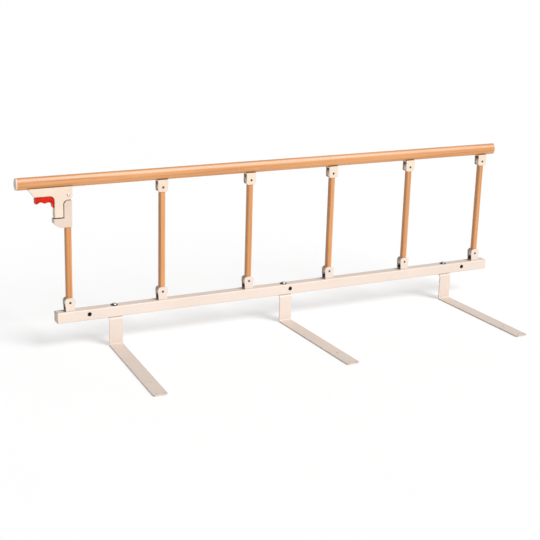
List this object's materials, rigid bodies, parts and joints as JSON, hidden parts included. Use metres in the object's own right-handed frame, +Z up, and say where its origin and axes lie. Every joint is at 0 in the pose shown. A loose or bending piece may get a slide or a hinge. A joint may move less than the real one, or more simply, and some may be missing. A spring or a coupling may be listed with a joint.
{
  "type": "bed assist rail",
  "caption": "Folding bed assist rail: hinged posts between a square lower rail with flat steel feet and an oval handrail, held up by a squeeze-trigger latch.",
  "frame": {"origin": "floor plane under the middle of the bounding box", "axes": "+X along the rail, from the latch end to the other end; the feet point to -Y, the rail and posts stand at +Y; +Z up"},
  "size_m": [1.254, 0.3451, 0.399],
  "materials": {
    "cream_coat": "satin powder coat",
    "cream_plastic": "satin",
    "sleeve_plastic": "satin",
    "woodgrain_film": "wood-grain transfer film on steel tube, satin",
    "grey_plastic": "satin",
    "black_rubber": "matte",
    "red_plastic": "semi-gloss",
    "dark_zinc": "dull zinc plate",
    "zinc": "bright zinc plate"
  },
  "bodies": {
    "base": {"lower_rail": "cream_coat", "rail_plug_left": "cream_plastic", "rail_plug_right": "cream_plastic", "lower_bracket_1": "cream_coat", "lower_bracket_2": "cream_coat", "lower_bracket_3": "cream_coat", "lower_bracket_4": "cream_coat", "lower_bracket_5": "cream_coat", "lower_bracket_6": "cream_coat", "lower_bracket_screws": "zinc", "lower_buffers": "black_rubber", "lower_rivets": "dark_zinc", "foot_left": "cream_coat", "foot_middle": "cream_coat", "foot_right": "cream_coat", "foot_bolts": "zinc", "bolt_washers": "black_rubber", "foot_nuts": "zinc"},
    "post_1": {"post_tube_1": "woodgrain_film", "post_foot_1": "grey_plastic", "post_head_1": "grey_plastic", "latch_sleeve": "sleeve_plastic", "sleeve_screws": "zinc"},
    "post_2": {"post_tube_2": "woodgrain_film", "post_foot_2": "grey_plastic", "post_head_2": "grey_plastic"},
    "post_3": {"post_tube_3": "woodgrain_film", "post_foot_3": "grey_plastic", "post_head_3": "grey_plastic"},
    "post_4": {"post_tube_4": "woodgrain_film", "post_foot_4": "grey_plastic", "post_head_4": "grey_plastic"},
    "post_5": {"post_tube_5": "woodgrain_film", "post_foot_5": "grey_plastic", "post_head_5": "grey_plastic"},
    "post_6": {"post_tube_6": "woodgrain_film", "post_foot_6": "grey_plastic", "post_head_6": "grey_plastic"},
    "handrail": {"handrail_tube": "woodgrain_film", "handrail_cap_left": "cream_plastic", "handrail_cap_right": "cream_plastic", "upper_bracket_2": "cream_plastic", "upper_bracket_3": "cream_plastic", "upper_bracket_4": "cream_plastic", "upper_bracket_5": "cream_plastic", "upper_bracket_6": "cream_plastic", "upper_bracket_screws": "zinc", "upper_buffers": "black_rubber", "upper_rivets": "dark_zinc", "latch_rivet": "zinc", "latch_housing": "cream_plastic", "latch_cover": "cream_plastic", "cover_screws": "zinc", "trigger_spring": "zinc"},
    "trigger": {"trigger": "red_plastic", "latch_plunger": "zinc"}
  },
  "joints": [
    {"name": "post_1_swing", "type": "hinge", "parent": "base", "child": "post_1", "pos_m": [-0.5125, 0.16, 0.1115], "axis": [0, -1, 0], "range_deg": [0, 84]},
    {"name": "handrail_swing", "type": "hinge", "parent": "post_1", "child": "handrail", "pos_m": [-0.5125, 0.16, 0.3555], "axis": [0, 1, 0], "range_deg": [0, 84]},
    {"name": "post_2_swing", "type": "hinge", "parent": "base", "child": "post_2", "pos_m": [-0.2925, 0.16, 0.1115], "axis": [0, -1, 0], "range_deg": [0, 84]},
    {"name": "post_3_swing", "type": "hinge", "parent": "base", "child": "post_3", "pos_m": [-0.0725, 0.16, 0.1115], "axis": [0, -1, 0], "range_deg": [0, 84]},
    {"name": "post_4_swing", "type": "hinge", "parent": "base", "child": "post_4", "pos_m": [0.1475, 0.16, 0.1115], "axis": [0, -1, 0], "range_deg": [0, 84]},
    {"name": "post_5_swing", "type": "hinge", "parent": "base", "child": "post_5", "pos_m": [0.3675, 0.16, 0.1115], "axis": [0, -1, 0], "range_deg": [0, 84]},
    {"name": "post_6_swing", "type": "hinge", "parent": "base", "child": "post_6", "pos_m": [0.5875, 0.16, 0.1115], "axis": [0, -1, 0], "range_deg": [0, 84]},
    {"name": "trigger_squeeze", "type": "slide", "parent": "handrail", "child": "trigger", "axis": [0, 0, 1], "range_m": [0, 0.008], "stiffness_N_per_m": 400, "springref_m": -0.01, "deforming": ["trigger_spring"]}
  ],
  "couplings": [
    {"joint": "handrail_swing", "follows": "post_1_swing", "ratio": 1},
    {"joint": "post_2_swing", "follows": "post_1_swing", "ratio": 1},
    {"joint": "post_3_swing", "follows": "post_1_swing", "ratio": 1},
    {"joint": "post_4_swing", "follows": "post_1_swing", "ratio": 1},
    {"joint": "post_5_swing", "follows": "post_1_swing", "ratio": 1},
    {"joint": "post_6_swing", "follows": "post_1_swing", "ratio": 1}
  ]
}
